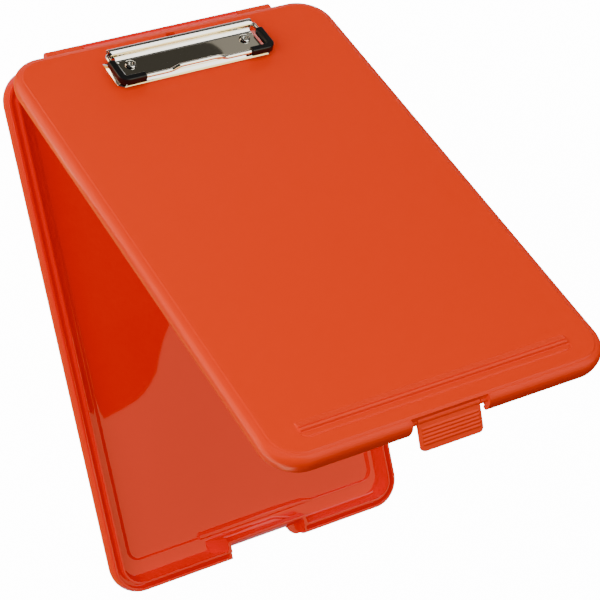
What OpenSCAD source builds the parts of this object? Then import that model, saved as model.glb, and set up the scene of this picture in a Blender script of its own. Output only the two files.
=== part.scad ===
// Storage clipboard box: a shallow tray with a hinged writing lid,
// a wire-lever paper clip on the lid and a swing latch at the front.
// Axes: +X right, +Y towards the hinge, +Z up. The tray lies flat on z = 0.
// Lid features are placed by u (across), v (back edge to front) and w (above
// the writing face); w is negative inside the lid.

/* [Case] */
// width of the lid over its side rims
box_w = 238; // [200:1:320]
// length of lid and tray, back edge to front edge
box_l = 368; // [300:1:440]
// corner radius of the lid in plan
corner_r = 24; // [16:1:32]
// how far each side of the tray sits inside the lid's outline
tray_inset = 2.5; // [1:0.1:4]
// sheet thickness of the moulded plastic
skin = 2.2; // [1.8:0.1:3]
// opening angle of the lid as modelled
lid_open = 50; // [0:1:120]

/* [Tray] */
// height of the tray's outer wall
tray_h = 12; // [9:0.5:22]
// width of the channel between the outer wall and the inner lip
channel_w = 3.2; // [3:0.1:6]
// height of the channel's floor
channel_z = 4.4; // [3:0.1:6]
// how far the inner lip stands above the outer wall
lip_rise = 1.5; // [0.8:0.1:3]
// thickness of the inner lip
lip_t = 1.8; // [1.4:0.1:2.6]
// height of the ledge around the floor above the sunk panel
ledge_rise = 1.2; // [0.6:0.1:2]
// width of the side ledges, from the tray's outline to the sunk panel
ledge_side = 15.6; // [13:0.1:24]
// width of the front ledge, from the tray's outline to the sunk panel
ledge_front = 21; // [19:0.5:30]
// corner radius of the sunk panel
panel_r = 9; // [5:0.5:14]
// width of the notch in the front wall for the latch
notch_w = 60; // [54:1:80]
// how far the notch sits to the right of the middle
notch_off = 3.5; // [0:0.5:5]
// how far the lip steps in behind the notch
notch_jog = 6.8; // [6:0.1:10]

/* [Lid] */
// depth of the lid's rim
rim_h = 13; // [10:0.5:20]
// radius of the rim's upper edge
edge_r = 5; // [3:0.5:7]
// gap between lid rim and tray wall when shut
shut_gap = 0.3; // [0.2:0.05:0.6]
// half width of the paper ledge near the front
stop_half = 96; // [60:1:104]
// distance of the paper ledge's crest from the front edge
stop_back = 20.9; // [18:0.1:40]
// height of the paper ledge
stop_h = 1.3; // [0.6:0.1:2.5]
// diameter of the hang hole behind the clip
hang_d = 6.5; // [5:0.1:7]
// distance of the hang hole from the back edge
hang_v = 8.8; // [8.6:0.1:11]

/* [Hinge] */
// distance of the hinge axis behind the lid's back edge
hinge_back = 4.9; // [4.6:0.1:7]
// depth of the hinge axis below the writing face
hinge_drop = 8.5; // [7:0.1:10]
// outer radius of the hinge knuckles
knuckle_r = 3.6; // [3:0.1:4]
// half length of the whole hinge
hinge_half = 85.4; // [60:0.1:92]
// half length of the tray's middle knuckle
middle_half = 59; // [40:0.5:60]
// radius of the hinge pins
pin_r = 1.2; // [1:0.05:1.6]

/* [Latch] */
// distance of the latch to the right of the middle
latch_off = -2.2; // [-2.6:0.1:6]
// distance from the flap's side to the end of its bay in the lid's rim
bay_side = 5; // [4:0.1:8]
// depth of that bay from the lid's front edge
bay_in = 4.2; // [3.8:0.1:4.4]
// half width of the latch flap
flap_half = 22; // [16:0.5:24]
// length of the flap below its pivot
flap_l = 18.6; // [16:0.1:20]
// thickness of the flap
flap_t = 2.2; // [1.8:0.1:2.6]
// distance of the pivot behind the lid's front edge
pivot_in = 5; // [4.6:0.1:6]
// depth of the pivot below the writing face
pivot_drop = 5.5; // [5:0.1:6]
// radius of the flap's barrel
barrel_r = 2.3; // [2:0.1:2.6]
// radius of the latch pin
latch_pin_r = 0.8; // [0.6:0.05:1.1]
// swing of the flap away from straight down, as modelled
flap_swing = 36; // [0:1:60]
// number of grip ribs across the flap
rib_n = 5; // [3:1:6]

/* [Clip] */
// height of the deck's top above the writing face
deck_w = 4.2; // [3.6:0.1:6]
// thickness of the clip's sheet steel
sheet = 0.8; // [0.5:0.05:1.2]
// distance from the lid's back edge to the clip's front edge
jaw_front = 48; // [46:0.5:70]
// outer radius of the rolled tube
tube_r = 3.4; // [3:0.1:4]
// half length of the rolled tube
tube_half = 53.5; // [44:0.5:64]
// radius of the lever wire
wire_r = 1.4; // [1.1:0.05:1.6]
// outer radius of the rubber grips
grip_r = 2.5; // [2.1:0.1:2.9]
// distance the deck stops short of each end of the tube
deck_in = 3; // [2.9:0.1:4]
// distance of each rivet from the deck's side
rivet_in = 7.6; // [6:0.1:12]
// radius of the rivet heads
rivet_head_r = 3.75; // [3.2:0.05:4.4]

/* [Clearances] */
// radial running clearance of the turning pins
run = 0.05; // [0.02:0.01:0.1]
// radial clearance of the fixed pins
fixed = 0.03; // [0.02:0.01:0.05]
// side gap between neighbouring bodies
gap = 0.4; // [0.3:0.05:0.6]

/* [Hidden] */
$fn = 48;
eps = 0.01;
tray_w = box_w - 2 * tray_inset;
tray_r = corner_r - tray_inset;
lid_z = tray_h + shut_gap + rim_h;
hinge_z = lid_z - hinge_drop;
span_y = box_l + hinge_back + knuckle_r;
hinge_y = span_y / 2 - knuckle_r;
lip_x = 1.5 + 1.8 + channel_w;
lip_z = tray_h + lip_rise;
ledge_z = skin + ledge_rise;
tray_y = hinge_y - hinge_back - box_l / 2;
front_y = hinge_y - hinge_back - box_l;
notch_l = notch_off - notch_w / 2;
notch_r = notch_off + notch_w / 2;
notch_y = front_y + lip_x + notch_jog;
wall_t = 1.9;
seam_x = edge_r + 0.2;
tube_v = 20.8;
tube_w = deck_w + 1.8;
rivet_v = 32.7;
deck_half = tube_half - deck_in;
rivet_u = deck_half - rivet_in;
jaw_half = deck_half + 7.1;
spring_half = rivet_u + 5.1;
spring_l = 9;
grip_end = tube_half - 14;
lug_half = flap_half + bay_side;
web_t = 2.6;
pin_deep = 9.4;
bay_l = 9.6;
deck_front = jaw_front - 3.5;
leg_u = tube_half + 2;
bend_r = 4;
bar_v = jaw_front;
lever_len = bar_v - tube_v;
bump_h = 2.5;
head_t = 0.9;
head_gap = 0.45;
shank_r = 1.9;
flap_edge = 1.6;
hook_half = 18;
catch_z = 6;

// ---- placement ----

// writing face frame: x = u, y = -v, z = w
module on_lid() {
  translate([0, hinge_y, hinge_z])
    rotate([-lid_open, 0, 0])
      translate([0, -hinge_back, hinge_drop])
        children();
}

// latch frame: x along the pivot, y = inward, z = -distance down the flap
module on_latch() {
  on_lid()
    translate([latch_off, -(box_l - pivot_in), -pivot_drop])
      rotate([-flap_swing, 0, 0])
        children();
}

// cylinder along X, centred
module rod(r, l, n = 48) {
  rotate([0, 90, 0])
    cylinder(r = r, h = l, center = true, $fn = n);
}

// prism along X from a profile drawn in (y, z)
module prism(half) {
  rotate([90, 0, 90])
    linear_extrude(height = 2 * half, center = true)
      children();
}

// rounded rectangle, centred
module plan(w, l, r) {
  square([w - 2 * r, l], center = true);
  square([w, l - 2 * r], center = true);
  for (sx = [-1, 1])
    for (sy = [-1, 1])
      translate([sx * (w / 2 - r), sy * (l / 2 - r)])
        circle(r = r, $fn = 64);
}

// a wall profile (x = distance inside the outline, y = height) run round a
// rounded rectangle
module run_round(w, l, r) {
  for (q = [0, 1, 2, 3]) {
    sx = (q == 0 || q == 3) ? 1 : -1;
    sy = (q < 2) ? 1 : -1;
    translate([sx * (w / 2 - r), sy * (l / 2 - r), 0])
      rotate([0, 0, 90 * q])
        rotate_extrude(angle = 90, $fn = 64)
          translate([r, 0])
            mirror([1, 0])
              children();
  }
  for (s = [0, 1])
    rotate([0, 0, 180 * s])
      translate([w / 2, 0, 0])
        rotate([90, 0, 0])
          linear_extrude(height = l - 2 * r, center = true)
            mirror([1, 0])
              children();
  for (s = [0, 1])
    rotate([0, 0, 90 + 180 * s])
      translate([l / 2, 0, 0])
        rotate([90, 0, 0])
          linear_extrude(height = w - 2 * r, center = true)
            mirror([1, 0])
              children();
}

// ---- tray ----

// outer wall, channel and inner lip in section
module tray_section() {
  polygon([[3.2, 0], [1.1, 0.9], [0.15, 3], [0, 5], [0.4, 8], [1.5, tray_h],
    [3.3, tray_h], [2.7, channel_z + 1.4], [3.4, channel_z + 0.3], [4.3, channel_z],
    [lip_x - 0.9, channel_z], [lip_x - 0.2, channel_z + 0.6], [lip_x, lip_z - 0.4],
    [lip_x + 0.4, lip_z], [lip_x + lip_t - 0.4, lip_z], [lip_x + lip_t, lip_z - 0.4],
    [lip_x + lip_t + 0.4, ledge_z + 1.8], [lip_x + lip_t + 1, ledge_z + 0.6],
    [lip_x + lip_t + 2.2, ledge_z], [lip_x + lip_t + 2.2, 0]]);
}

module tray_solid() {
  translate([0, tray_y, 0])
    run_round(tray_w, box_l, tray_r)
      tray_section();
  // floor
  translate([0, tray_y, 0])
    linear_extrude(height = skin)
      plan(tray_w - 20, box_l - 20, tray_r - 10);
  // raised ledge round the sunk panel
  translate([0, tray_y, skin - eps])
    linear_extrude(height = ledge_rise + eps)
      difference() {
        plan(tray_w - 20, box_l - 20, tray_r - 10);
        translate([0, (ledge_front - ledge_side) / 2])
          plan(tray_w - 2 * ledge_side, box_l - ledge_side - ledge_front, panel_r);
      }
  // wall stepped in behind the latch notch, with a long slope each side
  hull() {
    translate([notch_l - 14.5, front_y + lip_x + 1, 0])
      cube([40.5 + 14.5, notch_jog + lip_t + 1 - 1, ledge_z]);
    translate([notch_l - 14.5, front_y + lip_x + 1, 0])
      cube([notch_w + 21, 1, ledge_z]);
    translate([notch_l - wall_t, front_y + lip_x + 1, lip_z - 1])
      cube([notch_w + 2 * wall_t, notch_jog + lip_t - 1, 1]);
  }
  // end walls closing the channel at the notch
  for (x = [notch_l - wall_t, notch_r])
    translate([x, front_y + 1.6, 0.6])
      cube([wall_t, lip_x, tray_h - 0.6]);
  // low finger ramp where the sunk panel meets the front ledge
  translate([2.5, front_y + ledge_front, skin])
    prism(47.5)
      polygon([[4.2, -eps], [2.2, 1.5], [0.6, 2], [-1.4, ledge_rise - eps], [-1.4, -eps]]);
  // middle hinge knuckle on its web
  translate([0, hinge_y, hinge_z])
    rod(knuckle_r, 2 * middle_half);
  translate([0, hinge_y, 0])
    prism(middle_half)
      polygon([[-6.2, 8.5], [-6.2, 12], [-3.2, hinge_z - 1.6], [0.4, hinge_z - 3.4],
        [-0.8, hinge_z - 3.6], [-3, 9.6], [-5.1, 6.4]]);
}

module tray() {
  color([0.93, 0.27, 0.02])
    difference() {
      union() {
        difference() {
          tray_solid();
          // notch, its back wall sloped over an undercut for the hook
          translate([notch_off, notch_y, 0])
            prism(notch_w / 2)
              polygon([[-20, -1], [-1.8, -1], [-1.8, catch_z - 1.3], [-4.2, catch_z - 0.7],
                [-4.5, catch_z - 0.2], [-4.2, catch_z + 0.4], [-0.2, lip_z - 0.5], [-0.2, lip_z + 2],
                [-20, lip_z + 2]]);
        }
        // low shelf at the right of the notch
        translate([notch_r, front_y, 1.5])
          linear_extrude(height = 2.9)
            polygon([[0.2, 0.4], [0.2, lip_x + 0.4], [-11, lip_x + 0.4], [-10.3, 5.3], [-9, 3.3],
              [-7, 1.6], [-4.5, 0.6]]);
        // and the rest of the channel's floor that carries it
        translate([notch_r - 11, front_y + lip_x - 0.1, 0.6])
          cube([11.1, 2.2, 3.4]);
      }
      // hinge pin bores
      for (s = [-1, 1])
        translate([s * (middle_half - 6), hinge_y, hinge_z])
          rod(pin_r + run, 12.2);
    }
}

// ---- lid ----

module lid_section() {
  polygon([[edge_r, 0], [3.1, -0.38], [1.5, -1.4], [0.4, -3], [0, -edge_r], [0.3, -8.2],
    [1.8, -rim_h], [4.6, -rim_h], [2.9, -8], [2.4, -5.4], [3.3, -3.4],
    [seam_x, -skin], [seam_x, 0]]);
}

// the flat writing panel inside the rim
module panel_blank() {
  translate([0, -box_l / 2, -skin])
    linear_extrude(height = skin)
      plan(box_w - 2 * seam_x, box_l - 2 * seam_x, corner_r - seam_x);
  // paper ledge
  translate([0, -(box_l - stop_back), 0])
    prism(stop_half)
      polygon([[6.4, -eps], [0.6, stop_h], [-0.5, stop_h], [-1.2, -eps]]);
}

module rim_blank() {
  translate([0, -box_l / 2, 0])
    run_round(box_w, box_l, corner_r)
      lid_section();
  // hinge knuckles
  for (s = [-1, 1])
    translate([s * (hinge_half + middle_half + gap) / 2, hinge_back, -hinge_drop]) {
      rod(knuckle_r, hinge_half - middle_half - gap);
      prism((hinge_half - middle_half - gap) / 2)
        polygon([[0, 3.5], [-5.6, 3.6], [-5.6, -1.6], [0, -1.6]]);
    }
}

// small lug that holds one end of the latch pin
module latch_lug(s) {
  half = (lug_half - flap_half - gap) / 2;
  translate([latch_off + s * (flap_half + gap + half), -(box_l - pivot_in), -pivot_drop]) {
    rod(barrel_r, 2 * half);
    prism(half)
      polygon([[-1.9, 0], [2.3, 0], [2.3, pivot_drop - skin], [-0.8, pivot_drop - skin]]);
  }
}

module lid_panel() {
  color([0.93, 0.27, 0.02])
    on_lid()
      difference() {
        panel_blank();
        // shallow line in front of the paper ledge
        translate([0, -(box_l - stop_back) - 5.8, 0])
          prism(stop_half)
            polygon([[0.9, 0.5], [0.5, -0.4], [-0.5, -0.4], [-0.9, 0.5]]);
        // rivet holes
        for (s = [-1, 1])
          translate([s * rivet_u, -rivet_v, -skin - 1])
            cylinder(r = shank_r + fixed, h = skin + 2);
        // hang hole
        translate([0, -hang_v, -skin - 1])
          cylinder(r = hang_d / 2, h = skin + 2);
      }
}

module lid_rim() {
  color([0.93, 0.27, 0.02])
    on_lid()
      difference() {
        union() {
          difference() {
            rim_blank();
            // rim cut for the latch
            translate([latch_off - lug_half, -box_l - 1, -rim_h - 1]) {
              cube([2 * lug_half, bay_in + 1, rim_h + 2]);
              cube([2 * lug_half, bay_l, rim_h + 1 - 4.6]);
            }
          }
          for (s = [-1, 1]) {
            latch_lug(s);
            // web that closes the rim's hollow beside the bay
            translate([latch_off + s * (lug_half + web_t / 2), -box_l, 0])
              prism(web_t / 2)
                polygon([[1.2, -3.4], [0.8, -5.2], [1.1, -8], [1.6, -10.3], [5.2, -10.5],
                  [9.4, -9.4], [9.4, -skin], [4.4, -skin], [2.6, -2.4]]);
          }
        }
        // hinge pin bores
        for (s = [-1, 1])
          translate([s * (hinge_half + middle_half) / 2, hinge_back, -hinge_drop])
            rod(pin_r + fixed, hinge_half - middle_half + 1);
        // latch pin bores
        translate([latch_off, -(box_l - pivot_in), -pivot_drop])
          rod(latch_pin_r + fixed, 2 * lug_half + 3.6);
      }
}

module hinge_pin(s) {
  on_lid()
    translate([s * (hinge_half - 0.2 + middle_half - pin_deep) / 2, hinge_back, -hinge_drop])
      rod(pin_r, hinge_half - 0.2 - middle_half + pin_deep);
}

module hinge_pin_left() {
  color([0.72, 0.73, 0.75])
    hinge_pin(-1);
}

module hinge_pin_right() {
  color([0.72, 0.73, 0.75])
    hinge_pin(1);
}

// ---- latch ----

module latch() {
  color([0.93, 0.27, 0.02])
    on_latch()
      difference() {
        union() {
          rod(barrel_r, 2 * flap_half);
          // plate with rounded lower corners
          translate([0, flap_t - flap_edge, 0])
            rotate([90, 0, 0])
              linear_extrude(height = flap_t) {
                translate([-flap_half, -flap_l + 3])
                  square([2 * flap_half, flap_l - 3]);
                translate([-flap_half + 3, -flap_l])
                  square([2 * flap_half - 6, flap_l]);
                for (s = [-1, 1])
                  translate([s * (flap_half - 3), -flap_l + 3])
                    circle(r = 3);
              }
          // grip ribs
          for (k = [0 : rib_n - 1])
            translate([0, -flap_edge, -5.2 - k * 2.3])
              prism(flap_half - 2)
                polygon([[0.2, 0.8], [-0.5, 0.3], [-0.5, -0.3], [0.2, -0.8]]);
          // hook
          prism(hook_half - 0.6)
            polygon([[0.4, -flap_l + 2.6], [3.2, -flap_l + 2.2], [3.2, -flap_l + 1.2],
              [2, -flap_l], [0.4, -flap_l]]);
        }
        rod(latch_pin_r + run, 2 * flap_half + 2);
      }
}

module latch_pin() {
  color([0.72, 0.73, 0.75])
    on_lid()
      translate([latch_off, -(box_l - pivot_in), -pivot_drop])
        rod(latch_pin_r, 2 * lug_half + 2.6);
}

// ---- clip ----

// tapered pan: wide foot, narrower top, the front corners cut off
module pan(foot, top, vf, vt, w0, w1, back) {
  hull() {
    translate([0, 0, w0])
      linear_extrude(height = eps)
        polygon([[-foot, -back], [-foot, -vf + 3.4], [-foot + 3.4, -vf], [foot - 3.4, -vf],
          [foot, -vf + 3.4], [foot, -back]]);
    translate([0, 0, w1 - eps])
      linear_extrude(height = eps)
        polygon([[-top, -back], [-top, -vt + 0.6], [-top + 0.6, -vt], [top - 0.6, -vt],
          [top, -vt + 0.6], [top, -back]]);
  }
}

module clip_jaw() {
  color([0.8, 0.8, 0.79])
    on_lid()
      difference() {
        union() {
          difference() {
            pan(jaw_half, deck_half, jaw_front, deck_front, 0.3, deck_w, 22.2);
            pan(jaw_half - sheet, deck_half - sheet, jaw_front - sheet, deck_front - sheet,
              0.2, deck_w - sheet, 20);
            translate([-tube_half - 1, -27.2, 0])
              cube([2 * tube_half + 2, 6, deck_w + 1]);
            // the flanges' tails rise so that the jaw can rock
            prism(jaw_half + 1)
              polygon([[-rivet_v, 0], [-rivet_v, 0.3], [-21, 1.6], [-21, 0]]);
          }
          // deck curving up to the tube
          prism(deck_half)
            polygon([[-27.6, deck_w - sheet], [-27.6, deck_w], [-26.2, deck_w + 0.35],
              [-24.9, deck_w + 1.2], [-24, deck_w + 2.4], [-22.6, deck_w + 2.4],
              [-22.6, deck_w + 0.8], [-24, deck_w - 0.1], [-25.6, deck_w - 0.7]]);
          translate([0, -tube_v, tube_w])
            rod(tube_r, 2 * tube_half);
        }
        translate([0, -tube_v, tube_w])
          rod(wire_r + run, 2 * tube_half + 2);
        for (s = [-1, 1]) {
          translate([s * tube_half, -tube_v, tube_w])
            rod(tube_r - sheet, 8);
          translate([s * rivet_u, -rivet_v, 0])
            cylinder(r = shank_r + 0.45, h = 10);
        }
      }
}

module clip_spring() {
  color([0.62, 0.63, 0.65])
    on_lid()
      difference() {
        union() {
          translate([-spring_half, -rivet_v - spring_l / 2, 0])
            cube([2 * spring_half, spring_l, 0.5]);
          // bowed tongue that presses the deck up
          translate([0, -rivet_v - 4.4, 0])
            prism(20)
              polygon([[0.6, 0], [0.6, 0.5], [-1.6, 1.2], [-4, 2.6], [-5.2, 2.9], [-6.2, 2.6],
                [-6.2, 2.1], [-5.2, 2.4], [-4.2, 2.1], [-1.8, 0.7], [-0.4, 0.1]]);
        }
        for (s = [-1, 1])
          translate([s * rivet_u, -rivet_v, -1])
            cylinder(r = shank_r + 0.1, h = 4);
      }
}

// quarter bend of round wire in the lever's plane, centred on the bend
module bend(r, a) {
  rotate([0, 0, a])
    rotate_extrude(angle = 90, $fn = 48)
      translate([bend_r, 0])
        circle(r = r, $fn = 32);
}

module leg(r, s, v0, v1) {
  translate([s * leg_u, -(v0 + v1) / 2, tube_w])
    rotate([90, 0, 0])
      cylinder(r = r, h = v1 - v0, center = true, $fn = 32);
}

module bar(r, u0, u1) {
  translate([(u0 + u1) / 2, -bar_v, tube_w])
    rod(r, u1 - u0, 32);
}

module clip_lever() {
  color([0.82, 0.82, 0.8])
    on_lid() {
      translate([0, -tube_v, tube_w])
        rod(wire_r, 2 * (leg_u - bend_r), 32);
      for (s = [-1, 1]) {
        leg(wire_r, s, tube_v + bend_r, bar_v - bend_r);
        translate([s * (leg_u - bend_r), -tube_v - bend_r, tube_w])
          bend(wire_r, s > 0 ? 0 : 90);
        translate([s * (leg_u - bend_r), -bar_v + bend_r, tube_w])
          bend(wire_r, s > 0 ? 270 : 180);
        translate([s * (leg_u - bend_r + 21) / 2, -bar_v, tube_w])
          rod(wire_r, leg_u - bend_r - 21, 32);
        // rise to the finger bump; the balls round its corners
        translate([s * 21, -bar_v, tube_w])
          sphere(r = wire_r + 0.05, $fn = 32);
        translate([s * 14, -bar_v, tube_w + bump_h])
          sphere(r = wire_r + 0.05, $fn = 32);
        translate([s * 17.5, -bar_v, tube_w + bump_h / 2])
          rotate([0, s * atan2(bump_h, 7), 0])
            rod(wire_r, sqrt(49 + bump_h * bump_h), 32);
      }
      translate([0, -bar_v, tube_w + bump_h])
        rod(wire_r, 28, 32);
    }
}

module grip(s) {
  on_lid()
    difference() {
      union() {
        leg(grip_r, s, 29, bar_v - bend_r);
        translate([s * (leg_u - bend_r), -bar_v + bend_r, tube_w])
          bend(grip_r, s > 0 ? 270 : 180);
        translate([s * (leg_u - bend_r + grip_end) / 2, -bar_v, tube_w])
          rod(grip_r, leg_u - bend_r - grip_end, 32);
      }
      leg(wire_r + fixed, s, 28, bar_v - bend_r);
      translate([s * (leg_u - bend_r), -bar_v + bend_r, tube_w])
        bend(wire_r + fixed, s > 0 ? 270 : 180);
      translate([s * (leg_u - bend_r + grip_end - 1) / 2, -bar_v, tube_w])
        rod(wire_r + fixed, leg_u - bend_r - grip_end + 1, 32);
    }
}

module grip_left() {
  color([0.05, 0.05, 0.055])
    grip(-1);
}

module grip_right() {
  color([0.05, 0.05, 0.055])
    grip(1);
}

// hollow rivets: head above the deck, shank through the lid
module clip_rivets() {
  color([0.85, 0.85, 0.84])
    on_lid()
      for (s = [-1, 1])
        translate([s * rivet_u, -rivet_v, 0])
          difference() {
            union() {
              translate([0, 0, -skin - 1])
                cylinder(r = shank_r, h = skin + 1 + deck_w + head_gap + head_t);
              translate([0, 0, deck_w + head_gap])
                cylinder(r1 = rivet_head_r, r2 = rivet_head_r - 0.5, h = head_t);
              translate([0, 0, -skin - 1.4])
                cylinder(r = shank_r + 0.9, h = 0.6);
            }
            translate([0, 0, -skin - 2])
              cylinder(r = shank_r - 0.7, h = skin + 4 + deck_w + head_gap + head_t);
          }
}

module clip_washers() {
  color([0.72, 0.73, 0.75])
    on_lid()
      for (s = [-1, 1])
        translate([s * rivet_u, -rivet_v, -skin - 0.8])
          difference() {
            cylinder(r = 5, h = 0.8);
            translate([0, 0, -1])
              cylinder(r = shank_r + 0.1, h = 3);
          }
}

tray();
lid_panel();
lid_rim();
latch();
latch_pin();
hinge_pin_left();
hinge_pin_right();
clip_jaw();
clip_spring();
clip_lever();
grip_left();
grip_right();
clip_rivets();
clip_washers();
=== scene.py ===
# Storage clipboard box: tray, hinged writing lid, swing latch and a wire-lever clip.
import math

import bmesh
import bpy
from mathutils import Euler, Matrix, Vector


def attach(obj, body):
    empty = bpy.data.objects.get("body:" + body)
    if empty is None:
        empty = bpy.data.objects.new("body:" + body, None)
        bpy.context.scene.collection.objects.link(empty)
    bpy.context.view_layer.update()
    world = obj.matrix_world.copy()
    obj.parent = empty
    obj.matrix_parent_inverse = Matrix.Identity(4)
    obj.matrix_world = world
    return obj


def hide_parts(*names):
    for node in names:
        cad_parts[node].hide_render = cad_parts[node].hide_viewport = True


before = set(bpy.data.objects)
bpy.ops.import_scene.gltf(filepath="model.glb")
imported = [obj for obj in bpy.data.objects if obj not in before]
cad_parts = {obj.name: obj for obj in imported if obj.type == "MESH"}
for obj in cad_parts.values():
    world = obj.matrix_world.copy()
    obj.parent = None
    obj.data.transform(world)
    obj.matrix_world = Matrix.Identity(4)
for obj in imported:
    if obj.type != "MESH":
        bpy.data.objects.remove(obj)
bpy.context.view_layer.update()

# Sizes are in millimetres. On the lid u runs across, v forwards from the back edge and w up
# from the writing face, so a lid point is (u, -v, w).
BOX_W, BOX_L, CORNER = 238.0, 368.0, 24.0
TRAY_INSET, SKIN = 2.5, 2.2

HINGE_BACK, HINGE_DROP, KNUCKLE_R = 4.9, 8.5, 3.6
MIDDLE_KNUCKLE, SIDE_KNUCKLE = 59.0, (59.4, 85.4)
HINGE = Vector((0, 184.65, 16.8))
LID_OPEN, LATCH_TURN = 50, 36
TRAY_FRONT = HINGE.y - HINGE_BACK - BOX_L

LATCH_U, LATCH_V, LATCH_W, LATCH_HALF, BARREL_R = -2.2, 363.0, -5.5, 22.0, 2.3
BAY_HALF, BAY_IN, BAY_TOP, WEB = 27.0, 4.2, -2.8, 2.6

NOTCH_L, NOTCH_R = -26.5, 33.5
LIP_X, LIP_THICK, LIP_JOG = 6.5, 1.8, 6.8

CREASE, CREASE_WIDE, CREASE_SOFTER = 6.3, 0.9, 0.28
CREASE_FADES_FROM, CREASE_FADES_OVER = 170, 130
LEDGE_HALF, LEDGE_BEND, LEDGE_FOOT, GROOVE_V, STRIP_END = 94.6, 4.5, 349.5, 352.8, 355.0
HANG_V, HANG_R, HANG_EASED = 8.8, 3.25, 0.3

DECK_HALF, DECK_W, FOOT_HALF, MOUTH_V, PLATE = 50.5, 4.2, 57.6, 48.0, 0.7
TUBE_V, TUBE_W, TUBE_R, TUBE_HALF = 20.8, 6.0, 3.4, 53.5
LEVER_HALF, LEVER_BEND, WIRE_R, SLEEVE_R = 55.5, 4.0, 1.4, 2.5
RIVET_U, RIVET_V = 42.9, 32.7

ON_TRAY = Matrix.Identity(4)
ON_LID = (Matrix.Translation(HINGE) @ Matrix.Rotation(math.radians(-LID_OPEN), 4, "X")
          @ Matrix.Translation((0, -HINGE_BACK, HINGE_DROP)))
ON_LATCH = (ON_LID @ Matrix.Translation((LATCH_U, -LATCH_V, LATCH_W))
            @ Matrix.Rotation(math.radians(-LATCH_TURN), 4, "X"))


# ---------------------------------------------------------------- materials

def new_material(name):
    material = bpy.data.materials.new(name)
    material.use_nodes = True
    tree = material.node_tree
    return material, tree, tree.nodes["Principled BSDF"]


def dial(node, settings):
    """Sets sockets of a node by their names."""
    for socket, value in settings.items():
        node.inputs[socket].default_value = value


def plastic(name, colour, rough, grain, shine, glow=0.0):
    """Moulded plastic; glow is painted light, an even red emission that lifts its shade to deep red in
    place of light passing through the plastic.
    """
    material, tree, surface = new_material(name)
    # the red emission is painted light in the shade, not a lamp
    dial(surface, {"Base Color": (*colour, 1), "Roughness": rough, "IOR": 1.48,
                   "Specular IOR Level": shine,
                   "Emission Color": (1, 0, 0, 1), "Emission Strength": glow})
    place = tree.nodes.new("ShaderNodeTexCoord")
    noise = tree.nodes.new("ShaderNodeTexNoise")
    bump = tree.nodes.new("ShaderNodeBump")
    dial(noise, {"Scale": 900, "Detail": 3})
    dial(bump, {"Strength": grain, "Distance": 0.0002})
    tree.links.new(place.outputs["Object"], noise.inputs["Vector"])
    tree.links.new(noise.outputs["Fac"], bump.inputs["Height"])
    tree.links.new(bump.outputs["Normal"], surface.inputs["Normal"])
    return material


def metal(name, colour, rough, streak=0.0):
    """Bright metal whose gloss varies a little from place to place."""
    material, tree, surface = new_material(name)
    dial(surface, {"Base Color": (*colour, 1), "Metallic": 1})
    place = tree.nodes.new("ShaderNodeTexCoord")
    noise = tree.nodes.new("ShaderNodeTexNoise")
    spread = tree.nodes.new("ShaderNodeMapRange")
    dial(noise, {"Scale": 60, "Detail": 2})
    dial(spread, {"To Min": rough * 0.7, "To Max": rough * 1.4 + streak})
    tree.links.new(place.outputs["Object"], noise.inputs["Vector"])
    tree.links.new(noise.outputs["Fac"], spread.inputs["Value"])
    tree.links.new(spread.outputs["Result"], surface.inputs["Roughness"])
    return material


# The last number of both plastics is glow: painted light, a red emission that keeps their shade deep
# red.
LID_PLASTIC = plastic("lid_plastic", (0.84, 0.035, 0.0), 0.25, 0.05, 0.11, 0.06)
# The tray is the lid's orange plastic made redder and given more glow: painted shade for the deep red
# it takes under the lid.
TRAY_PLASTIC = plastic("tray_plastic", (0.80, 0.003, 0.0), 0.02, 0.0, 0.3, 0.14)
CLIP_NICKEL = metal("clip_nickel", (0.80, 0.79, 0.75), 0.03)
PIN_STEEL = metal("pin_steel", (0.60, 0.61, 0.63), 0.25, 0.1)
GRIP_RUBBER = plastic("grip_rubber", (0.006, 0.006, 0.0065), 0.3, 0.1, 0.3)


# ---------------------------------------------------------------- curves

def ease(t):
    """Smooth rise from 0 to 1 while t goes from 0 to 1."""
    t = max(0.0, min(1.0, t))
    return t * t * (3 - 2 * t)


def quarter(t):
    """Quarter round: 0 at t = 0, flat there, and 1 at t = 1, upright there."""
    return 1 - math.sqrt(max(0.0, 1 - t * t))


def curve(points, steps):
    """Catmull-Rom curve through flat points, with steps between two of them."""
    last = len(points) - 1
    out = []
    for i in range(last):
        p, q, r, s = (Vector(points[max(0, min(last, k))]) for k in (i - 1, i, i + 1, i + 2))
        for k in range(steps):
            t = k / steps
            out.append(0.5 * (2 * q + (r - p) * t + (2 * p - 5 * q + 4 * r - s) * t * t
                              + (3 * q - p - 3 * r + s) * t ** 3))
    return [tuple(p) for p in out + [Vector(points[-1])]]


def circle(centre, radius, height, steps):
    turns = [2 * math.pi * k / steps for k in range(steps)]
    return [(centre[0] + radius * math.cos(a), centre[1] + radius * math.sin(a), height)
            for a in turns]


def round_corners(steps):
    """Side, end and outward direction, once round the four corners from the front right one."""
    for side, end, start in ((1, -1, -90), (1, 1, 0), (-1, 1, 90), (-1, -1, 180)):
        for k in range(steps + 1):
            turn = math.radians(start + 90 * k / steps)
            yield side, end, Vector((math.cos(turn), math.sin(turn)))


def edge_stations(width, length, radius, front_us):
    """Once round a rounded rectangle: point, inward direction, and u if it is on the front edge."""
    stations = [(Vector((u, -length / 2)), Vector((0, 1)), u) for u in front_us]
    for side, end, outward in round_corners(18):
        centre = Vector((side * (width / 2 - radius), end * (length / 2 - radius)))
        stations.append((centre + radius * outward, -outward, None))
    return stations


# ---------------------------------------------------------------- shapes

def chain(bm, points, ring):
    """Vertices and edges from point to point; a ring joins its ends."""
    verts = [bm.verts.new(p) for p in points]
    ends = verts[1:] + verts[:1] if ring else verts[1:]
    return verts, [bm.edges.new(pair) for pair in zip(verts, ends)]


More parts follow.
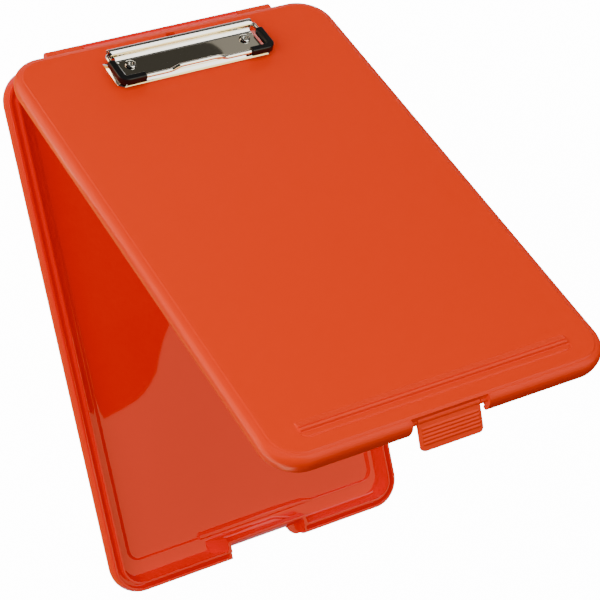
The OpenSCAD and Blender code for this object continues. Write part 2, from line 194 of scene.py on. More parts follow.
def loft(bm, sections, ring=True, around=False, caps=False):
    """Skin over sections with equally many points; around joins the last one to the first."""
    chains = [chain(bm, section, ring) for section in sections]
    following = chains[1:] + chains[:1] if around else chains[1:]
    for (_, these), (_, those) in zip(chains, following):
        bmesh.ops.bridge_loops(bm, edges=these + those)
    if caps:
        bm.faces.new(chains[0][0])
        bm.faces.new(chains[-1][0])
    return [verts for verts, _ in chains]


def fill(bm, *loops):
    """Fills the flat region between closed loops of vertices."""
    edges = []
    for loop in loops:
        for pair in zip(loop, loop[1:] + loop[:1]):
            edges.append(bm.edges.get(pair) or bm.edges.new(pair))
    bmesh.ops.triangle_fill(bm, edges=edges, use_beauty=True, use_dissolve=False)


def turned(bm, profile, centre, axis, steps):
    """Solid of revolution from half a section."""
    verts, edges = chain(bm, profile, False)
    bmesh.ops.spin(bm, geom=verts + edges, cent=centre, axis=axis, steps=steps,
                   angle=2 * math.pi, use_merge=True)


def rod(bm, radius, x0, x1, y, z, steps, edge):
    """Round bar along X with eased ends."""
    half = [(x0, 0), (x0, radius - edge), (x0 + edge, radius), (x1 - edge, radius),
            (x1, radius - edge), (x1, 0)]
    turned(bm, [(x, y + r, z) for x, r in half], (0, y, z), (1, 0, 0), steps)


def bar(bm, outline, along):
    """Straight bar: a flat outline drawn out along a vector."""
    face = bm.faces.new([bm.verts.new(p) for p in outline])
    drawn = bmesh.ops.extrude_face_region(bm, geom=[face])["geom"]
    ends = [item for item in drawn if isinstance(item, bmesh.types.BMVert)]
    bmesh.ops.translate(bm, vec=along, verts=ends)


def cross_bar(bm, outline, x0, x1):
    """Bar along X from its outline in y and z."""
    bar(bm, [(x0, y, z) for y, z in outline], (x1 - x0, 0, 0))


def pipe(bm, path, radii, steps, power=2.0):
    """Wire or sleeve along a path with a radius for each point; a higher power is squarer."""
    path = [Vector(p) for p in path]
    up = Vector((0, 0, 1))
    sections = []
    for i, (point, radius) in enumerate(zip(path, radii)):
        ahead = (path[min(i + 1, len(path) - 1)] - path[max(i - 1, 0)]).normalized()
        side = ahead.cross(up).normalized()
        up = side.cross(ahead).normalized()
        section = []
        for k in range(steps):
            turn = 2 * math.pi * (k + 0.5) / steps
            c, s = math.cos(turn), math.sin(turn)
            reach = radius * (abs(c) ** power + abs(s) ** power) ** (-1 / power)
            section.append(point + reach * (c * side + s * up))
        sections.append(section)
    loft(bm, sections, caps=True)


# ---------------------------------------------------------------- pieces

def thicken(piece, place, thickness):
    """Gives a plate its thickness, below its outer face."""
    up = place.to_3x3() @ Vector((0, 0, 1))
    looks_up = sum(face.normal.dot(up) * face.area for face in piece.data.polygons) > 0
    plate = piece.modifiers.new("plate", "SOLIDIFY")
    plate.thickness = thickness
    plate.offset = -1 if looks_up else 1


def build(name, bm, material, place, body, nodes, sharp=34, weld=0.002, plate=0.0):
    """Makes the finished piece from a mesh in millimetres; sharp is in degrees."""
    bmesh.ops.remove_doubles(bm, verts=bm.verts[:], dist=weld)
    bmesh.ops.dissolve_degenerate(bm, edges=bm.edges[:], dist=weld)
    bmesh.ops.recalc_face_normals(bm, faces=bm.faces[:])
    for face in bm.faces:
        face.smooth = True
    for edge in bm.edges:
        if len(edge.link_faces) == 2 and edge.calc_face_angle(0) > math.radians(sharp):
            edge.smooth = False
    bmesh.ops.transform(bm, matrix=Matrix.Scale(0.001, 4) @ place, verts=bm.verts[:])
    mesh = bpy.data.meshes.new(name)
    bm.to_mesh(mesh)
    bm.free()
    mesh.materials.append(material)
    piece = bpy.data.objects.new(name, mesh)
    bpy.context.scene.collection.objects.link(piece)
    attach(piece, body)
    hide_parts(*nodes)
    if plate:
        thicken(piece, place, plate / 1000)
    # keeps wide flat faces flat beside rounded edges
    shading = piece.modifiers.new("even", "WEIGHTED_NORMAL")
    shading.keep_sharp = True
    return piece


# ---------------------------------------------------------------- lid

# shell section as (inwards, w): face, crease, band, round side and rolled lip, then back under
LID_OUTSIDE = ([(8.0, 0.0), (CREASE, 0.0), (6.0, -0.05), (5.7, -0.22), (5.4, -0.43)]
               + curve([(5.15, -0.55), (4.7, -0.62), (3.6, -0.78), (2.6, -1.12), (1.5, -1.8),
                        (0.6, -3.1), (0.12, -4.6), (0.0, -5.8), (0.2, -7.8), (0.8, -10.4),
                        (1.55, -12.5), (1.8, -12.85)], 3)
               + [(2.1, -13.0)])
LID_INSIDE = ([(4.3, -13.0), (4.55, -12.8)]
              + curve([(4.5, -12.4), (3.4, -9.4), (2.7, -6.6), (2.7, -4.8), (3.4, -3.3),
                       (4.8, -2.4), (6.6, -SKIN)], 3)
              + [(8.5, -SKIN)])


def lid_section(u, v):
    """Lid's shell at a station; the crease fades from the middle towards the hinge."""
    in_bay = u is not None and abs(u - LATCH_U) < BAY_HALF
    softer = CREASE_SOFTER * (1 - ease((v - CREASE_FADES_FROM) / CREASE_FADES_OVER))
    section = []
    for thin, points in ((0, LID_OUTSIDE), (0.03, LID_INSIDE)):
        for inwards, w in points:
            if in_bay:
                inwards = max(inwards, BAY_IN + (thin if w < BAY_TOP else 0))
                w = max(w, BAY_TOP)
            elif thin == 0 and w > -1.2:
                past = CREASE - CREASE_WIDE - inwards
                w += softer * ease(1 + past / CREASE_WIDE) * (1 - ease(past / 2.6))
            section.append((inwards, w))
    return section


def ledge_groove(u, v):
    """Depth of the fine groove in front of the paper ledge; it turns up round both ends."""
    if v <= LEDGE_FOOT:
        return 0.0
    beyond, behind = abs(u) - (LEDGE_HALF - LEDGE_BEND), GROOVE_V - v
    if beyond < 0:
        off = abs(behind)
    elif behind < LEDGE_BEND:
        off = abs(math.hypot(beyond, LEDGE_BEND - behind) - LEDGE_BEND)
    else:
        off = abs(beyond - LEDGE_BEND)
    fade = ease((LEDGE_HALF + 0.9 - abs(u)) / 0.4) * ease((STRIP_END - v) / 0.6)
    return -0.6 * math.exp(-(off / 0.42) ** 2) * fade


def paper_ledge(bm):
    """Strip of the lid's face with the ledge: low wedge, thin bead and groove. Gives its border."""
    wedge = [(340.2, 0.0), (340.9, 0.02), (341.6, 0.45), (342.6, 0.75), (344.9, 1.6), (345.4, 1.5)]
    bead = [(345.8, 0.6), (346.1, 0.7), (346.4, 1.75), (346.8, 2.0), (347.7, 1.62), (348.0, 1.3),
            (348.3, 0.0), (348.6, -0.3), (349.1, -0.25)]
    level = [(v, 0.0) for v in (349.6, 350.4, 351.4, 352.2, 352.5, GROOVE_V, 353.1, 353.4, 354.0,
                                STRIP_END)]
    profile = curve(wedge + bead + level, 3)
    end = [-LEDGE_HALF - 0.9 + 0.45 * k for k in range(14)]
    strips = []
    for u in end + [-60, 0, 60] + [-u for u in reversed(end)]:
        rise = ease((LEDGE_HALF - abs(u)) / 0.6)
        strips.append([(u, -v, w * rise + ledge_groove(u, v)) for v, w in profile])
    rows = loft(bm, strips, ring=False)
    return ([row[0] for row in rows] + rows[-1][1:] + [row[-1] for row in reversed(rows[:-1])]
            + rows[0][-2:0:-1])


def hang_hole(bm):
    """Hole through the lid behind the clip. Gives its upper and lower loop."""
    rows = loft(bm, [circle((0, -HANG_V), radius, w, 36) for radius, w in
                     ((HANG_R + HANG_EASED, 0.0), (HANG_R, -HANG_EASED), (HANG_R, -SKIN))])
    return rows[0], rows[-1]


def lid_hinge_knuckle(bm, side):
    x0, x1 = sorted(side * u for u in SIDE_KNUCKLE)
    rod(bm, KNUCKLE_R, x0, x1, HINGE_BACK, -HINGE_DROP, 48, 0.4)
    cross_bar(bm, [(HINGE_BACK, -5.05), (-1.2, -5.0), (-1.2, -10.2), (HINGE_BACK, -10.2)],
              x0 + 0.3, x1 - 0.3)


def latch_lug(bm, side):
    """Bearing of the latch pin at one end of the bay, and the web across the rim's end there."""
    x0, x1 = sorted((LATCH_U + side * (LATCH_HALF + 0.4), LATCH_U + side * (BAY_HALF + 0.2)))
    rod(bm, BARREL_R, x0, x1, -LATCH_V, LATCH_W, 32, 0.25)
    cross_bar(bm, [(-364.9, LATCH_W), (-360.7, LATCH_W), (-360.7, -2.0), (-363.8, -2.0)],
              x0 + 0.2, x1)
    web = [(5.0, -1.2), (3.4, -0.6), (2.0, -1.3), (0.95, -2.5), (0.35, -4.1), (0.2, -5.6),
           (0.4, -7.8), (1.0, -10.2), (1.6, -10.4), (5.2, -10.55), (8.6, -10.2), (9.4, -9.4),
           (9.4, -2.0), (6.6, -2.0)]
    x0, x1 = sorted((LATCH_U + side * (BAY_HALF + 0.02), LATCH_U + side * (BAY_HALF + WEB)))
    cross_bar(bm, [(inwards - BOX_L, w) for inwards, w in web], x0, x1)


def lid_shell():
    bm = bmesh.new()
    bay_l, bay_r = LATCH_U - BAY_HALF, LATCH_U + BAY_HALF
    front_us = [-90, -60, bay_l - 0.6, bay_l - 0.01, bay_l + 0.01, -12,
                12, bay_r - 0.01, bay_r + 0.01, bay_r + 0.6, 60, 90]
    sections = []
    for point, inward, u in edge_stations(BOX_W, BOX_L, CORNER, front_us):
        sections.append([(point.x + inward.x * far, point.y - BOX_L / 2 + inward.y * far, w)
                         for far, w in lid_section(u, BOX_L / 2 - point.y)])
    rows = loft(bm, sections, ring=False, around=True)
    hole_top, hole_bottom = hang_hole(bm)
    fill(bm, [row[0] for row in rows], paper_ledge(bm), hole_top)
    fill(bm, [row[-1] for row in rows], hole_bottom)
    for side in (-1, 1):
        lid_hinge_knuckle(bm, side)
        latch_lug(bm, side)
    return build("lid_shell", bm, LID_PLASTIC, ON_LID, "lid", ["lid_panel", "lid_rim"])


# ---------------------------------------------------------------- tray

RAMP_L, RAMP_R = -41, 40     # ends of the raised floor behind the notch
NOTCH_WALL = 1.9             # lip behind the notch reaches this far past its ends
NOTCH_ROUND = 1.6            # rounding of the notch's inner corners
NOTCH_FLOOR = 6.0            # height right behind the notch
TRAY_FLOOR, TRAY_LEDGE = 2.2, 3.4
PANEL_IN, PANEL_FRONT, PANEL_ROUND = 15.6, 21, 9


def notch_place(u):
    """Lip's outer and inner face, foot of its slope and floor height behind it, at front place u."""
    lip_out, lip_in, foot, floor = LIP_X, LIP_X + LIP_THICK, 9.35, NOTCH_FLOOR
    wall_l, wall_r = NOTCH_L - NOTCH_WALL, NOTCH_R + NOTCH_WALL
    if wall_l <= u <= wall_r:
        lip_in += LIP_JOG
    elif wall_l - 2 < u < wall_l:
        lip_in += LIP_JOG * quarter((u - wall_l + 2) / 2) * 0.999
    elif wall_r < u < wall_r + 2:
        lip_in += LIP_JOG * quarter((wall_r + 2 - u) / 2) * 0.999
    if RAMP_L <= u <= RAMP_R:
        foot = 17.5 - 8.1 * max(0, u - 14) / 26
        if u < wall_l:
            floor = 3.5 + 9.6 * (u - RAMP_L) / (wall_l - RAMP_L)
        elif u > wall_r:
            floor = 3.5 + 9.0 * (RAMP_R - u) / (RAMP_R - wall_r)
    if NOTCH_L <= u <= NOTCH_R:
        near_end = min(1.0, min(u - NOTCH_L, NOTCH_R - u) / NOTCH_ROUND)
        lip_out += LIP_JOG - NOTCH_ROUND * quarter(1 - near_end)
    return lip_out, lip_in, foot, floor


def outer_wall():
    """Bottom and outside of the plain wall, then the channel in it, as (inwards, z)."""
    outside = [(21.3, 0), (4.2, 0.0), (2.6, 0.18), (1.4, 0.75), (0.55, 1.8), (0.12, 3.2), (0, 5),
               (0.2, 7.2), (0.75, 9.8), (1.3, 11.5), (1.48, 11.82), (1.8, 12.0)]
    channel = [(3.0, 12.0), (3.24, 11.88), (3.3, 11.6), (3.1, 9.5), (2.85, 7.0), (2.95, 5.6),
               (3.45, 4.75), (4.3, 4.4), (6.1, 4.4), (6.7, 4.6), (7.0, 5.3)]
    return outside, channel


def notch_wall(lip_out):
    """The same two parts in the notch: the undercut and the sloped face that the latch hooks."""
    back = lip_out - 1.8
    undercut = [(21.3, 0), (back + 0.4, 0.0), (back + 0.1, 0.1), (back, 0.4)]
    undercut += [(back, 0.8 + 0.45 * k) for k in range(8)]
    slope = [(back, 4.4), (back - 0.15, 4.62), (back - 0.7, 4.8), (back - 2.3, 5.2),
             (back - 2.62, 5.4), (back - 2.7, 5.75), (back - 2.5, 6.3), (back - 1.6, 7.8),
             (back - 0.5, 9.6), (back + 0.6, 11.4), (back + 1.4, 12.7)]
    return undercut, slope


def raised_floor(lip_in, foot, floor):
    """From the lip down to the ledge where the floor behind the notch is raised."""
    low = floor < 8
    at_notch = floor == NOTCH_FLOOR
    middle = (lip_in + foot) / 2 + 0.1 if at_notch else max(lip_in + 0.15, foot - 0.5)
    return [(lip_in + 0.05, max(floor + 0.4, 9.0) if low else min(12.9, floor + 0.3)),
            (lip_in + (0.1 if low and foot - lip_in < 2 else 0.4), floor),
            (middle, floor - 0.05 if floor > 4 else floor),
            (foot - 0.1, floor - 0.5 if floor > 4.4 else floor - 0.02),
            (foot, min(floor - 0.03, 4.9)), (foot + 0.2, min(floor - 0.04, 4.2)),
            (foot + 0.7, min(floor - 0.05, 3.65)), (foot + 1.5, TRAY_LEDGE),
            (foot + 2.0, TRAY_LEDGE)]


def tray_section(u):
    """Tray's edge from the bottom over wall, channel and lip to the ledge; u is None off the front."""
    lip_out, lip_in, foot, floor = notch_place(1000.0 if u is None else u)
    behind_notch = u is not None and NOTCH_L - NOTCH_WALL <= u <= NOTCH_R + NOTCH_WALL
    outside, channel = outer_wall()
    if lip_out > LIP_X:
        outside, channel = notch_wall(lip_out)
        lip_foot = 12.95
    elif behind_notch:
        channel = [(3.0 + 0.4 * k, 12.0) for k in range(11)]
        lip_foot = 12.3
    else:
        lip_foot = 9
    lip = [(lip_out - 0.05, lip_foot), (lip_out, 13.0), (lip_out + 0.1, 13.33),
           (lip_out + 0.4, 13.5), (lip_in - 0.4, 13.5), (lip_in - 0.1, 13.33), (lip_in, 13.0)]
    if u is not None and RAMP_L <= u <= RAMP_R:
        inner = raised_floor(lip_in, foot, floor)
    else:
        inner = [(lip_in + far, z) for far, z in (
            (0.05, 9.0), (0.3, 7.2), (0.7, 5.9), (1.2, 4.95), (1.7, 4.3), (2.2, 3.85), (2.6, 3.6),
            (2.85, 3.46), (3.05, TRAY_LEDGE))]
    return outside + channel + lip + inner


def tray_front_us():
    """Stations along the tray's front, closer together where the notch and its lip turn."""
    turns = [math.cos(math.radians(k)) for k in (0, 20, 40, 60, 80, 90)]
    us = [-90, -60, -44, -41.6, RAMP_L - 0.01, RAMP_L + 0.01, -38, -35, -32]
    us += [NOTCH_L - NOTCH_WALL - 2 * c for c in turns]
    us += [NOTCH_L - 1.2, NOTCH_L - 0.01]
    us += [NOTCH_L + NOTCH_ROUND * (1 - c) for c in turns]
    us += [-10, 0, 10, 14, 20, 26]
    us += [NOTCH_R - NOTCH_ROUND * (1 - c) for c in reversed(turns)]
    us += [NOTCH_R + 0.01, NOTCH_R + 1.2]
    us += [NOTCH_R + NOTCH_WALL + 2 * c for c in reversed(turns)]
    us += [38, RAMP_R - 0.01, RAMP_R + 0.01, 44, 60, 90]
    return us


def sunk_panel(bm):
    """Floor panel with a soft step down from the ledge. Gives the step's outer loop."""
    half_w = BOX_W / 2 - TRAY_INSET - PANEL_IN - PANEL_ROUND
    ends = {-1: TRAY_FRONT + PANEL_FRONT + PANEL_ROUND,
            1: TRAY_FRONT + BOX_L - PANEL_IN - PANEL_ROUND}
    rings = []
    for off, z in ((0, TRAY_LEDGE), (0.4, 3.33), (1.2, 3.05), (2.2, 2.55), (2.8, 2.27),
                   (3.2, TRAY_FLOOR), (6, TRAY_FLOOR)):
        off_y = off if off > 4 else 0.4 * off
        rings.append([(side * half_w + (PANEL_ROUND - off) * out.x,
                       ends[end] + (PANEL_ROUND - off_y) * out.y, z)
                      for side, end, out in round_corners(12)])
    rows = loft(bm, rings)
    fill(bm, rows[-1])
    return rows[0]


def finger_ramp(bm):
    """Low ramp at the front of the sunk panel, behind the notch; it runs out to the right."""
    y0, foot = TRAY_FRONT + PANEL_FRONT, 2.1
    profile = [(4.6, 0.0), (4.4, 0.15), (4.1, 0.5), (2.6, 1.95), (2.3, 2.18), (1.9, 2.25),
               (0.4, 2.25), (-0.2, 2.0), (-1.0, 1.2)]
    sections = []
    for u, size in ((-45, 0.96), (-44.6, 1.0), (-20, 1.0), (20, 1.0), (40, 0.8), (50, 0.1)):
        height = 1 if size > 0.9 else 0.6 + 0.4 * size
        sections.append([(u, y0 + y * size, foot + z * height) for y, z in profile])
    loft(bm, sections, caps=True)


def notch_shelf(bm):
    """Low shelf in the notch's right corner, and the block that closes the wall behind it."""
    outline = [(0.3, 0.4), (0.3, 6.9), (-9.4, 6.9), (-9.1, 6.2), (-8.7, 5.3), (-7.5, 3.3),
               (-5.9, 1.6), (-3.9, 0.6), (-1.8, 0.4)]
    bar(bm, [(NOTCH_R + x, TRAY_FRONT + y, 1.5) for x, y in outline], (0, 0, 2.9))
    cross_bar(bm, [(TRAY_FRONT + y, z) for y, z in ((6.4, 0.6), (8.5, 0.6), (8.5, 4.0), (6.4, 4.0))],
              NOTCH_R - 9.4, NOTCH_R + 0.1)


def tray_hinge_knuckle(bm):
    rod(bm, KNUCKLE_R, -MIDDLE_KNUCKLE, MIDDLE_KNUCKLE, HINGE.y, HINGE.z, 48, 0.4)
    web = [(-6.2, 8.5), (-6.2, 11.9), (-3.2, 15.2), (0.4, 13.4), (-0.8, 13.2), (-3, 9.6),
           (-5.1, 6.4)]
    cross_bar(bm, [(HINGE.y + y, z) for y, z in web], 0.3 - MIDDLE_KNUCKLE, MIDDLE_KNUCKLE - 0.3)


def tray_shell():
    bm = bmesh.new()
    sections = []
    for point, inward, u in edge_stations(BOX_W - 2 * TRAY_INSET, BOX_L, CORNER - TRAY_INSET,
                                          tray_front_us()):
        centre_y = TRAY_FRONT + BOX_L / 2
        sections.append([(point.x + inward.x * far, point.y + inward.y * far + centre_y, z)
                         for far, z in tray_section(u)])
    rows = loft(bm, sections, ring=False, around=True)
    fill(bm, [row[0] for row in rows])
    fill(bm, [row[-1] for row in rows], sunk_panel(bm))
    finger_ramp(bm)
    notch_shelf(bm)
    tray_hinge_knuckle(bm)
    return build("tray_shell", bm, TRAY_PLASTIC, ON_TRAY, "tray", ["tray"])


# ---------------------------------------------------------------- latch

FLAP_LONG, FLAP_THICK, FLAP_ROUND = 18.6, 1.6, 3.0
RIB_FIRST, RIB_LAST, RIB_PITCH, RIB_HIGH = 4.0, 15.4, 2.28, 0.42


def flap_section(down):
    """Flap's outline at a distance down from the pin: ribbed face in front, plain back."""
    over = max(0.0, down - (FLAP_LONG - FLAP_ROUND))
    half = LATCH_HALF - (FLAP_ROUND - math.sqrt(max(0.0, FLAP_ROUND ** 2 - over * over)))
    edge = 0.35 + 0.5 * max(0, down - FLAP_LONG + 0.6) / 0.6
    rib = 0.0
    if RIB_FIRST < down < RIB_LAST:
        wave = 0.5 - 0.5 * math.cos(2 * math.pi * (down - RIB_FIRST) / RIB_PITCH)
        rib = RIB_HIGH * wave ** 0.8
    bulge = 0.25 * math.sin(math.pi * min(1, down / FLAP_LONG))
    face = []
    # where across the half width, how much of the rib and how much of the edge's easing
    for across, share, eased in ((0, 1, 0), (0.5, 1, 0), (0.88, 1, 0), (0.905, 0.5, 0),
                                 (0.93, 0, 0), (0.985, 0, 0), (1, 0, 1)):
        face.append((across * half, -(FLAP_THICK + bulge + rib * share - edge * eased), -down))
    front = [(-x, y, z) for x, y, z in face[:0:-1]] + face
    back = [(across * half, 0.3 if abs(across) == 1 else 0.6, -down)
            for across in (1, 0.985, 0.5, -0.5, -0.985, -1)]
    return front + back


def latch_flap():
    bm = bmesh.new()
    ribbed = [3.6 + 0.23 * k for k in range(53)]
    downs = [0.0, 1.2, 2.4, 3.2] + ribbed
    downs += [15.8, 16.2, 16.8, 17.3, 17.7, 18.0, 18.25, 18.45, 18.57, FLAP_LONG]
    loft(bm, [flap_section(down) for down in downs], caps=True)
    rod(bm, BARREL_R, -LATCH_HALF, LATCH_HALF, 0, 0, 40, 0.3)
    hook = [(0.4, -16.0), (3.0, -16.4), (3.2, -16.7), (3.2, -17.4), (2.0, -18.5), (0.4, -18.55)]
    cross_bar(bm, hook, -17.4, 17.4)
    return build("latch_flap", bm, LID_PLASTIC, ON_LATCH, "latch", ["latch"])


# ---------------------------------------------------------------- clip

def mirrored(points):
    """Adds the mirror image of a line that ends on the middle of the clip."""
    return points + [(-u, v) for u, v in points[-2::-1]]


def clip_skirt(bm):
    """Sides and front of the plate, from the deck over a bend to the foot. Gives its upper loop."""
    foot = mirrored([(-FOOT_HALF, 22.2), (-FOOT_HALF, 30), (-FOOT_HALF, MOUTH_V - 3.4),
                     (-FOOT_HALF + 0.5, MOUTH_V - 2.6), (-FOOT_HALF + 3.0, MOUTH_V - 0.35),
                     (-FOOT_HALF + 3.8, MOUTH_V), (-30, MOUTH_V), (0, MOUTH_V)])
    deck = mirrored([(-DECK_HALF, 25.6), (-DECK_HALF, 30), (-DECK_HALF, 43.4),
                     (-DECK_HALF + 0.15, 43.9), (-DECK_HALF + 0.7, 44.4), (-DECK_HALF + 1.3, 44.5),
                     (-30, 44.5), (0, 44.5)])
    lines = []
    for outwards, w in ((-0.16, DECK_W), (-0.06, 4.17), (0.03, 4.05), (0.12, 3.75), (0.25, 3.15),
                        (0.6, 1.5), (1.0, 0.3)):
        lines.append([(u0 + (u1 - u0) * outwards, -(v0 + (v1 - v0) * outwards), w)
                      for (u0, v0), (u1, v1) in zip(deck, foot)])
    return loft(bm, lines, ring=False)[0]


def clip_tube(bm):
    """Back of the deck curving up into the rolled tube. Gives the curve's two side edges."""
    rise = [(27.8, DECK_W)] + curve([(27.2, 4.21), (26.3, 4.4), (25.4, 4.95), (24.75, 5.6)], 3)
    turns = [math.radians(a) for a in range(-8, 301, 14)]
    roll = [(TUBE_V + TUBE_R * math.cos(a), TUBE_W + TUBE_R * math.sin(a)) for a in turns]
    deck_us = [-DECK_HALF, -20, 0, 20, DECK_HALF]
    rows = loft(bm, [[(u, -v, w) for v, w in rise + roll[:1]] for u in deck_us], ring=False)
    loft(bm, [[(u, -v, w) for v, w in roll] for u in [-TUBE_HALF] + deck_us + [TUBE_HALF]],
         ring=False)
    return [row[0] for row in rows]


def clip_jaw_sheet():
    bm = bmesh.new()
    front = list(clip_skirt(bm))
    back = clip_tube(bm)
    corners = [bm.verts.new((side * 49.2, -27.8, DECK_W)) for side in (1, -1)]
    fill(bm, front + corners[:1] + back[::-1] + corners[1:])
    return build("clip_jaw_sheet", bm, CLIP_NICKEL, ON_LID, "jaw", ["clip_jaw"],
                 sharp=40, weld=0.01, plate=PLATE)


def lever_corner(centre_u, centre_v, start, end):
    """Quarter bend of the lever's wire, in degrees from start to end."""
    turns = [math.radians(start + (end - start) * k / 8) for k in range(9)]
    return [(centre_u + LEVER_BEND * math.cos(a), centre_v + LEVER_BEND * math.sin(a)) for a in turns]


def lever_path():
    """Wire from the tube round both corners, with a finger bump in the middle of the front."""
    side = LEVER_BEND - LEVER_HALF
    level = ([(-48, TUBE_V)] + lever_corner(side, TUBE_V + LEVER_BEND, -90, -180)
             + lever_corner(side, MOUTH_V - LEVER_BEND, 180, 90))
    half = [(u, -v, TUBE_W) for u, v in level]
    for u, rise in ((-24, 0), (-21, 0.15), (-18.5, 0.75), (-16.5, 1.75), (-14, 2.35), (-11, 2.5),
                    (0, 2.5)):
        half.append((u, -MOUTH_V, TUBE_W + rise))
    return half + [(-u, y, w) for u, y, w in half[-2::-1]]


def clip_wire():
    bm = bmesh.new()
    path = lever_path()
    pipe(bm, path, [WIRE_R] * len(path), 24)
    return build("clip_wire", bm, CLIP_NICKEL, ON_LID, "lever", ["clip_lever"],
                 sharp=50)


def grip_sleeve(side, name, node):
    """Rubber sleeve on one corner of the lever."""
    bm = bmesh.new()
    corner = LEVER_HALF - LEVER_BEND
    bend = lever_corner(corner, MOUTH_V - LEVER_BEND, 0, 90)
    path = [(LEVER_HALF, v) for v in (29.0, 29.1, 29.5, 36)] + bend
    path += [(u, MOUTH_V) for u in (44, 40.0, 39.6, 39.5)]
    ends = [SLEEVE_R - 0.45, SLEEVE_R - 0.15]
    radii = ends + [SLEEVE_R] * (len(path) - 4) + ends[::-1]
    pipe(bm, [(side * u, -v, TUBE_W) for u, v in path], radii, 48, power=7.0)
    return build(name, bm, GRIP_RUBBER, ON_LID, "lever", [node], sharp=50)


def clip_eyelets():
    """The two hollow rivets, flared over the deck and over the washers."""
    bm = bmesh.new()
    throat = [(1.25 + 0.35 * math.sin(a), 5.5 - 0.3 * math.cos(a)) for a in (0.5, 1.0, 1.5)]
    head = [(2.0, 5.62), (3.1, 5.55), (3.6, 5.3), (3.75, 4.95), (3.7, 4.7), (3.4, 4.65)]
    shank = [(1.9, 4.65), (1.9, -3.0), (2.8, -3.05), (2.8, -3.5), (1.9, -3.6), (1.2, -3.4)]
    profile = [(1.2, -3.4), (1.2, 5.2)] + throat + head + shank
    for side in (-1, 1):
        u = side * RIVET_U
        turned(bm, [(u + r, -RIVET_V, w) for r, w in profile], (u, -RIVET_V, 0), (0, 0, 1), 40)
    return build("clip_eyelets", bm, CLIP_NICKEL, ON_LID, "lid", ["clip_rivets"],
                 sharp=45)


lid_shell()
tray_shell()
latch_flap()
clip_jaw_sheet()
clip_wire()
grip_sleeve(-1, "grip_sleeve_left", "grip_left")
grip_sleeve(1, "grip_sleeve_right", "grip_right")
clip_eyelets()
for name in ("latch_pin", "hinge_pin_left", "hinge_pin_right", "clip_spring", "clip_washers"):
    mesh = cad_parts[name].data
    mesh.materials.clear()
    mesh.materials.append(PIN_STEEL)


# ---------------------------------------------------------------- studio, in metres

def card(name, outline, z, material):
    """A level card of the studio, from its corners."""
    bm = bmesh.new()
    bm.faces.new([bm.verts.new((x, y, z)) for x, y in outline])
    mesh = bpy.data.meshes.new(name)
    bm.to_mesh(mesh)
    bm.free()
    mesh.materials.append(material)
    ob = bpy.data.objects.new(name, mesh)
    bpy.context.scene.collection.objects.link(ob)
    return ob


def box_outline(x0, y0, x1, y1):
    return [(x0, y0), (x1, y0), (x1, y1), (x0, y1)]


def reflector(name, outline, z, colour, strength):
    """A glowing card that only shiny surfaces see."""
    material, _, surface = new_material(name + "_glow")
    dial(surface, {"Base Color": (0, 0, 0, 1), "Specular IOR Level": 0,
                   "Emission Color": (*colour, 1), "Emission Strength": strength})
    ob = card("sheet_" + name, outline, z, material)
    ob.visible_camera = ob.visible_diffuse = ob.visible_shadow = False
    ob.visible_transmission = ob.visible_volume_scatter = False


def area_light(name, size, at, power):
    """Soft lamp that looks at the box and leaves no mirror image of itself."""
    light = bpy.data.lights.new(name, "AREA")
    light.shape = "RECTANGLE"
    light.size, light.size_y = size
    light.energy = power
    ob = bpy.data.objects.new(name, light)
    ob.location = at
    ob.rotation_euler = (Vector((0, 0, 0.1)) - Vector(at)).to_track_quat("-Z", "Y").to_euler()
    ob.visible_glossy = False
    bpy.context.scene.collection.objects.link(ob)


def floor_white():
    """White floor that is bright only to the camera."""
    material, tree, surface = new_material("floor_white")
    dial(surface, {"Base Color": (0.9, 0.9, 0.9, 1), "Roughness": 0.9, "Specular IOR Level": 0.1,
                   "Emission Color": (1, 1, 1, 1)})
    ray = tree.nodes.new("ShaderNodeLightPath")
    glow = tree.nodes.new("ShaderNodeMath")
    glow.operation = "MULTIPLY"
    dial(glow, {1: SEEN_BRIGHT})
    tree.links.new(ray.outputs["Is Camera Ray"], glow.inputs[0])
    tree.links.new(glow.outputs[0], surface.inputs["Emission Strength"])
    return material


def studio_world():
    """White surroundings: soft for light, dim in reflections and bright to the camera."""
    world = bpy.data.worlds.new("studio")
    bpy.context.scene.world = world
    world.use_nodes = True
    nodes, links = world.node_tree.nodes, world.node_tree.links
    surroundings = nodes["Background"]
    dial(surroundings, {"Color": (1, 1, 1, 1)})
    ray = nodes.new("ShaderNodeLightPath")
    dimmed = nodes.new("ShaderNodeMath")
    bright = nodes.new("ShaderNodeMath")
    dimmed.operation = bright.operation = "MULTIPLY_ADD"
    dial(dimmed, {1: WORLD_SEEN_GLOSSY - WORLD_LIGHT, 2: WORLD_LIGHT})
    dial(bright, {1: SEEN_BRIGHT})
    links.new(ray.outputs["Is Glossy Ray"], dimmed.inputs[0])
    links.new(ray.outputs["Is Camera Ray"], bright.inputs[0])
    links.new(dimmed.outputs[0], bright.inputs[2])
    links.new(bright.outputs[0], surroundings.inputs["Strength"])


SEEN_BRIGHT, WORLD_LIGHT, WORLD_SEEN_GLOSSY = 14.0, 0.18, 0.05
WARM, AMBER, RED = (1, 0.9, 0.7), (1, 0.42, 0.06), (1, 0.2, 0.05)
UNDER, OVER = 0.0004, 0.0008     # heights of cards on the floor; the higher one hides the lower
DARK_EDGE = [(0.19, 0.55), (0.2136, 0.577), (0.2292, 0.596), (0.2537, 0.636), (0.2757, 0.674),
             (0.2947, 0.71), (0.32, 0.8)]
TRAY_EDGE = [(0.1, -0.55), (0.6, -0.52), (0.627, -0.514), (0.675, -0.505), (0.7, -0.498),
             (0.717, -0.489), (0.734, -0.475), (0.748, -0.458), (0.759, -0.434), (0.77, -0.413),
             (0.785, -0.392), (0.81, -0.35), (0.82, -0.1)]

card("floor", box_outline(-3, -3, 3, 3), -0.0002, floor_white())
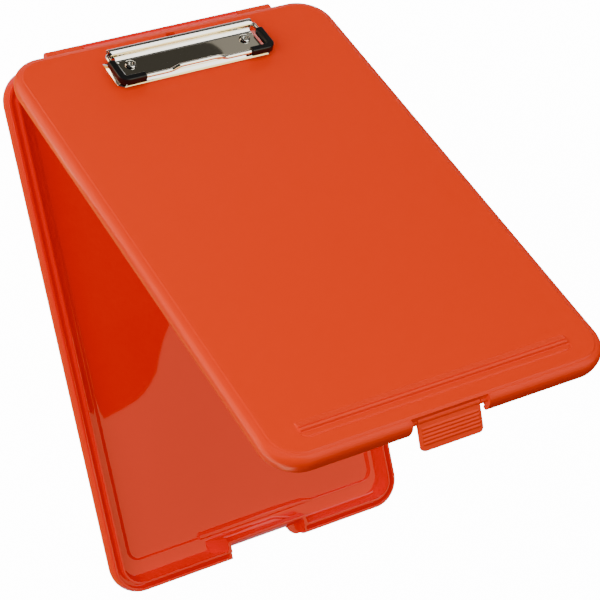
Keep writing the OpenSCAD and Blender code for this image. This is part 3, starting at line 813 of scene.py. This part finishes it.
# on the floor behind: dark and olive in the clip's deck
reflector("dark", [(-0.1, 0.25), (0.19, 0.25)] + DARK_EDGE + [(0.32, 1.6), (-0.1, 1.6)], 0.001,
          WARM, 0.06)
reflector("olive", box_outline(0.1, 0.25, 1.4, 1.6), OVER, (1, 0.9, 0.72), 0.32)
# on the floor at the left: the lid's rim and the clip's flange
reflector("left", box_outline(-3, -1.6, -0.15, 3), UNDER, (1, 0.74, 0.48), 6)
reflector("near", box_outline(-0.15, -0.6, -0.115, 0.5), UNDER, AMBER, 1.5)
reflector("side", box_outline(-0.34, -0.5, -0.15, 0.1), OVER, RED, 0.1)
reflector("flange", box_outline(-0.5, 0.6, -0.1, 1.5), OVER, WARM, 0.15)
reflector("front", box_outline(-0.12, -3, 2.2, -0.22), UNDER, RED, 0.1)
# above: slopes that face up, the tray's floor, and a black card round the camera
reflector("strip", box_outline(0.3, -0.1, 2.4, 3.4), 1.9, (1, 0.98, 0.9), 3.5)
reflector("tray", TRAY_EDGE + [(1.9, -0.1), (1.9, -1.5), (0.1, -1.5)], 1.9, (1, 0.76, 0.33), 2.9)
reflector("black", box_outline(-1.2, -0.7, 1.1, 0.3), 1.95, (1, 1, 1), 0)

studio_world()
area_light("key_left", (1.2, 1.6), (-1.6, 0.6, 1.3), 33)
area_light("key_back", (2.4, 1.4), (0.3, 1.6, 1.5), 22)
area_light("top", (1.8, 1.8), (0.7, -0.45, 1.9), 5)

# camera: picture side and focal length in pixels, and where the optical axis meets the picture
PICTURE, FOCAL, AXIS_X, AXIS_Y = 600, 2025.8, 315, 345
CAMERA_AT = (-0.58474, 0.23863, 1.27868)
CAMERA_TURN = (-5.596196, -29.090212, -12.769830)

lens = bpy.data.cameras.new("camera")
lens.sensor_width = 36
lens.lens = FOCAL * lens.sensor_width / PICTURE
lens.shift_x = 0.5 - AXIS_X / PICTURE
lens.shift_y = AXIS_Y / PICTURE - 0.5
lens.clip_start, lens.clip_end = 0.05, 20
camera = bpy.data.objects.new("camera", lens)
bpy.context.scene.collection.objects.link(camera)
turn = Euler([math.radians(a) for a in CAMERA_TURN]).to_matrix().to_4x4()
camera.matrix_world = Matrix.Translation(CAMERA_AT) @ turn
bpy.context.scene.camera = camera
